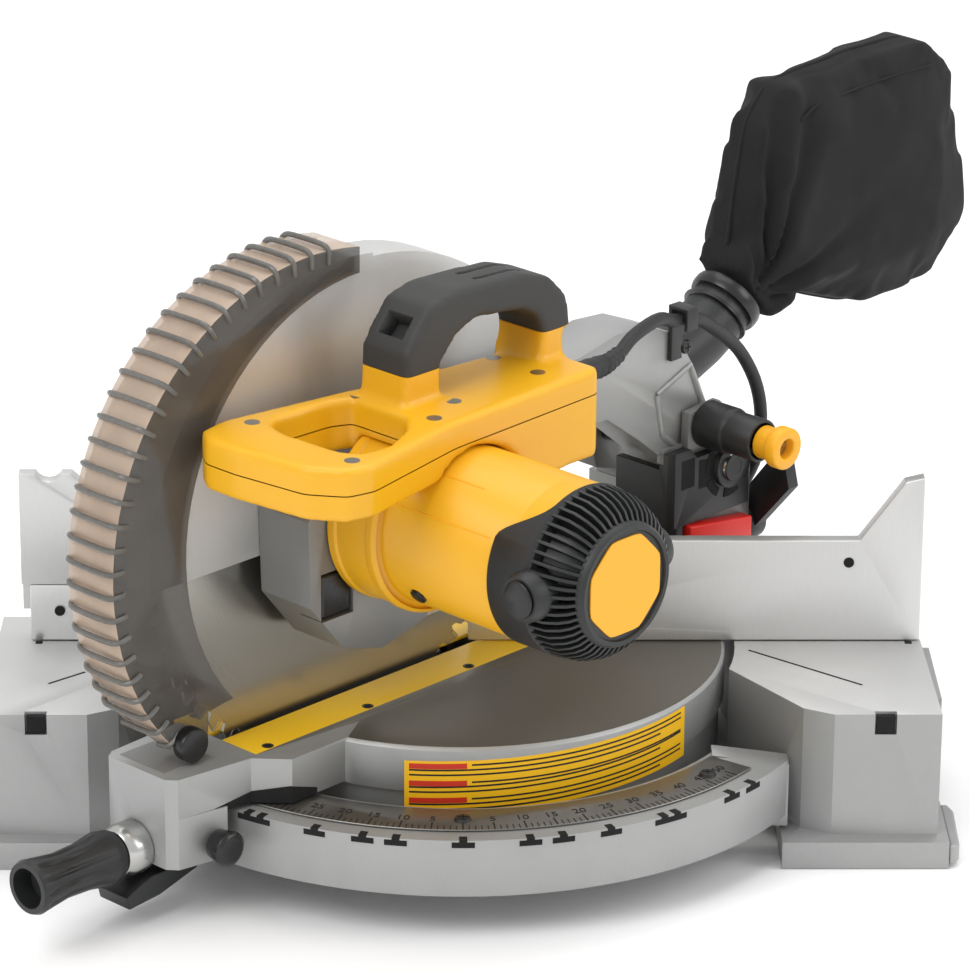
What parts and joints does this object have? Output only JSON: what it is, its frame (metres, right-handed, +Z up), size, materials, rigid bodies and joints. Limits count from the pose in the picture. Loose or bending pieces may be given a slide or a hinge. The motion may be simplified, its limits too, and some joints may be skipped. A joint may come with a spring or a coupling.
{
  "type": "compound miter saw",
  "caption": "Compound miter saw: turntable with miter scale and kerf slot, tilting arm, swinging motor head with guarded blade, split fence and dust bag.",
  "frame": {"origin": "on the bench, at the flat underside of the boss under the turntable's vertical pivot axis", "axes": "+X along the fence to the user's right, +Y away from the user, +Z up; the fence face is the plane y = 0"},
  "size_m": [0.6456, 0.6301, 0.402],
  "materials": {
    "cast_aluminium": "fine-grained cast and painted grey",
    "machined_aluminium": "machined, with fine milling lines",
    "steel": "ground steel",
    "zinc_steel": "zinc-plated steel",
    "yellow_plastic": "moulded yellow nylon, finely textured",
    "black_plastic": "moulded black nylon, finely textured",
    "black_rubber": "matt cord jacket",
    "smoke_plastic": "smoke-tinted clear polycarbonate",
    "black_fabric": "woven black filter cloth",
    "red_plastic": "moulded red plastic",
    "copper_winding": "varnished copper windings"
  },
  "bodies": {
    "base": {"base_casting": "cast_aluminium", "miter_scale_plate": "machined_aluminium", "right_fence": "machined_aluminium", "left_fence": "machined_aluminium"},
    "sliding_fence": {"left_sliding_fence": "machined_aluminium"},
    "fence_knob": {"fence_clamp_knob": "yellow_plastic"},
    "turntable": {"turntable_casting": "cast_aluminium", "right_kerf_plate": "yellow_plastic", "left_kerf_plate": "yellow_plastic", "miter_pivot_bolt": "zinc_steel", "handle_collar": "steel", "turntable_cord_clip": "black_plastic", "cord_bench_lead": "black_rubber", "cord_coil": "black_rubber", "mains_plug": "black_plastic"},
    "miter_handle": {"miter_lock_handle": "black_plastic", "miter_lock_rod": "steel"},
    "latch": {"miter_latch_lever": "black_plastic"},
    "override_knob": {"detent_override_knob": "black_plastic"},
    "bevel_arm": {"bevel_support": "cast_aluminium", "bevel_cover": "black_plastic", "bevel_bolt": "zinc_steel", "head_pivot_pin": "steel", "bevel_stop_plate": "red_plastic", "bevel_cord_clip": "black_plastic", "lock_pin_sleeve": "black_plastic", "cord_bevel_loop": "black_rubber"},
    "bevel_lever": {"bevel_clamp_lever": "black_plastic"},
    "lock_pin": {"lock_pin_shaft": "steel", "lock_pin_knob": "yellow_plastic"},
    "head": {"upper_guard": "cast_aluminium", "swing_arm": "cast_aluminium", "gear_case": "cast_aluminium", "handle_lower_shell": "yellow_plastic", "handle_upper_shell": "yellow_plastic", "carry_grip": "black_plastic", "motor_housing": "yellow_plastic", "motor_end_cap": "black_plastic", "brush_cap": "black_plastic", "stator": "copper_winding", "spindle_bearing": "steel", "head_cord_clip": "black_plastic", "cord_gland": "black_rubber", "dust_duct": "black_plastic", "dust_bag": "black_fabric", "cord_head_lead": "black_rubber", "cord_head_loop": "black_rubber"},
    "rotor": {"armature": "copper_winding", "motor_fan": "black_plastic"},
    "arbor": {"blade": "steel", "inner_flange": "zinc_steel", "outer_flange": "zinc_steel", "arbor_bolt": "zinc_steel", "spindle": "steel", "spindle_gear": "steel"},
    "guard": {"lower_guard": "smoke_plastic"},
    "roller": {"guard_roller": "black_plastic"},
    "trigger": {"trigger": "black_plastic"},
    "spindle_lock": {"spindle_lock_button": "black_plastic"}
  },
  "joints": [
    {"name": "miter_turn", "type": "hinge", "parent": "base", "child": "turntable", "pos_m": [0, 0, 0.08], "axis": [0, 0, 1], "range_deg": [-5, 95]},
    {"name": "bevel_tilt", "type": "hinge", "parent": "turntable", "child": "bevel_arm", "pos_m": [0.12728, 0.12728, 0.095], "axis": [-0.7071, -0.7071, 0], "range_deg": [-3, 48], "deforming": ["cord_bevel_loop"]},
    {"name": "head_swing", "type": "hinge", "parent": "bevel_arm", "child": "head", "pos_m": [0.13576, 0.09475, 0.187], "axis": [-0.7071, 0.7071, 0], "range_deg": [0, 44], "deforming": ["cord_head_loop"]},
    {"name": "guard_swing", "type": "hinge", "parent": "head", "child": "guard", "pos_m": [-0.07778, -0.07071, 0.212], "axis": [-0.7071, 0.7071, 0], "range_deg": [-88, 0]},
    {"name": "roller_spin", "type": "hinge", "parent": "guard", "child": "roller", "pos_m": [-0.15768, -0.18314, 0.107], "axis": [-0.7071, 0.7071, 0], "continuous": true},
    {"name": "blade_spin", "type": "hinge", "parent": "head", "child": "arbor", "pos_m": [-0.07425, -0.07425, 0.212], "axis": [-0.7071, 0.7071, 0], "continuous": true},
    {"name": "motor_spin", "type": "hinge", "parent": "head", "child": "rotor", "pos_m": [-0.00566, -0.14708, 0.23], "axis": [-0.7071, 0.7071, 0], "continuous": true},
    {"name": "trigger_pull", "type": "slide", "parent": "head", "child": "trigger", "axis": [-0.7071, -0.7071, 0], "range_m": [0, 0.006], "stiffness_N_per_m": 800},
    {"name": "spindle_lock_press", "type": "slide", "parent": "head", "child": "spindle_lock", "axis": [-0.7071, 0.7071, 0], "range_m": [0, 0.005], "stiffness_N_per_m": 800},
    {"name": "lock_pin_pull", "type": "slide", "parent": "bevel_arm", "child": "lock_pin", "axis": [0.7071, -0.7071, 0], "range_m": [-0.009, 0]},
    {"name": "bevel_lever_turn", "type": "hinge", "parent": "bevel_arm", "child": "bevel_lever", "pos_m": [0.18102, 0.10182, 0.136], "axis": [0.7071, 0.7071, 0], "range_deg": [0, 50]},
    {"name": "miter_handle_turn", "type": "hinge", "parent": "turntable", "child": "miter_handle", "pos_m": [-0.21213, -0.21213, 0.046], "axis": [-0.7071, -0.7071, 0], "range_deg": [0, 180]},
    {"name": "latch_press", "type": "hinge", "parent": "turntable", "child": "latch", "pos_m": [-0.16829, -0.16829, 0.027], "axis": [0.7071, -0.7071, 0], "range_deg": [0, 6], "stiffness_Nm_per_rad": 3},
    {"name": "override_turn", "type": "hinge", "parent": "turntable", "child": "override_knob", "pos_m": [-0.13859, -0.20082, 0.05], "axis": [0.7071, -0.7071, 0], "range_deg": [0, 90]},
    {"name": "fence_slide", "type": "slide", "parent": "base", "child": "sliding_fence", "axis": [-1, 0, 0], "range_m": [0, 0.06]},
    {"name": "fence_knob_turn", "type": "hinge", "parent": "base", "child": "fence_knob", "pos_m": [-0.216, 0.03, 0.12], "axis": [0, 1, 0], "range_deg": [0, 180]}
  ],
  "couplings": [
    {"joint": "guard_swing", "follows": "head_swing", "ratio": -2},
    {"joint": "motor_spin", "follows": "blade_spin", "ratio": -2.6667}
  ]
}
